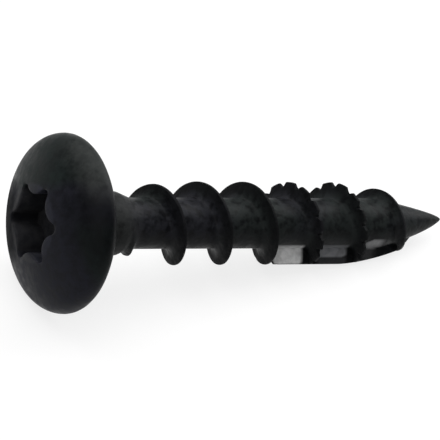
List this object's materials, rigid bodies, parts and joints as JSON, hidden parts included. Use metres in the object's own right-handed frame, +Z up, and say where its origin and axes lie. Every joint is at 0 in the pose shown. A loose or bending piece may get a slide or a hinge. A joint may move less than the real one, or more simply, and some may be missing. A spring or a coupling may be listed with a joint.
{
  "type": "multi-purpose screw",
  "caption": "Pan-head screw with a six-lobe recess, plain neck, coarse serrated thread, cutting lip and sharp point, black finish.",
  "frame": {"origin": "on the floor, at the middle of the bounding box's base; the screw lies as it comes to rest", "axes": "+X from the head to the point, +Y away from the viewer, +Z up. The screw's own axis falls from the head to the point by about 9 degrees, because it lies on its head's rim and its thread. The mount head_underside is at the angle of the cutting lip's front edge"},
  "size_m": [0.0243, 0.0086, 0.0086],
  "materials": {
    "black_coat": "dull black coat on hardened steel, rubbed to grey metal on the cutting lip"
  },
  "bodies": {
    "root": {"screw": "black_coat"}
  },
  "joints": []
}
